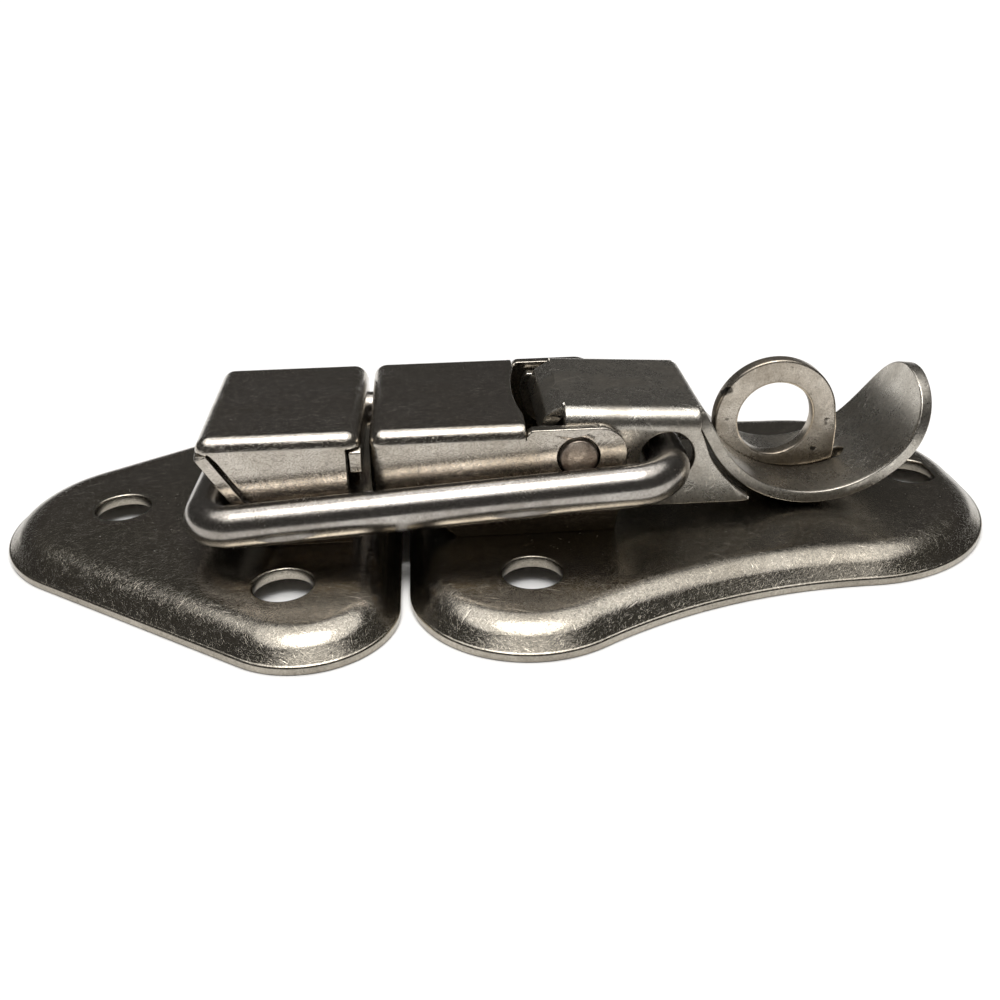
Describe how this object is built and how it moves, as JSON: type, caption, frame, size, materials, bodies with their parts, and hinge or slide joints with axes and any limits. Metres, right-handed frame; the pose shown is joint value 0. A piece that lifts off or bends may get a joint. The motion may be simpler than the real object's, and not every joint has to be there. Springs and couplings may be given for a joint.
{
  "type": "toggle bolt latch",
  "caption": "Surface-mounted over-centre toggle latch: a sheet-steel hook plate, a lever plate with a wire link that pulls on the hook, and an eye through the lever for a padlock.",
  "frame": {"origin": "centre of the bounding box on the mounting surface, the plane that the rims of both plates stand on", "axes": "+X along the latch from the keeper's rounded point to the padlock eye's end, +Y across it, +Z away from the mounting surface"},
  "size_m": [0.1284, 0.0694, 0.0207],
  "materials": {
    "dark_plate_steel": "nickel-plated sheet steel, darkened with age, fine speckle and scratches",
    "folded_steel": "nickel-plated sheet steel, worn bright on its folds and cut edges",
    "eye_steel": "plated steel with a few dark pits",
    "rivet_steel": "worn plated steel",
    "wire_steel": "smooth bright-plated wire"
  },
  "bodies": {
    "base": {"keeper_plate": "dark_plate_steel", "keeper_hook": "folded_steel", "keeper_rivet_1": "rivet_steel", "keeper_rivet_2": "rivet_steel", "latch_plate": "dark_plate_steel", "housing": "folded_steel", "housing_rivet_1": "rivet_steel", "housing_rivet_2": "rivet_steel", "housing_rivet_3": "rivet_steel", "housing_rivet_4": "rivet_steel", "padlock_eye": "eye_steel", "pivot_rivet": "rivet_steel"},
    "lever": {"lever": "folded_steel"},
    "link": {"link": "wire_steel"}
  },
  "joints": [
    {"name": "lever_pivot", "type": "hinge", "parent": "base", "child": "lever", "pos_m": [0.0092, 0, 0.0138], "axis": [0, -1, 0], "range_deg": [0, 86]},
    {"name": "link_swing", "type": "hinge", "parent": "lever", "child": "link", "pos_m": [0.0205, 0, 0.0117], "axis": [0, -1, 0], "range_deg": [-71, 0]}
  ],
  "couplings": [
    {"joint": "link_swing", "follows": "lever_pivot", "ratio": -0.82}
  ]
}
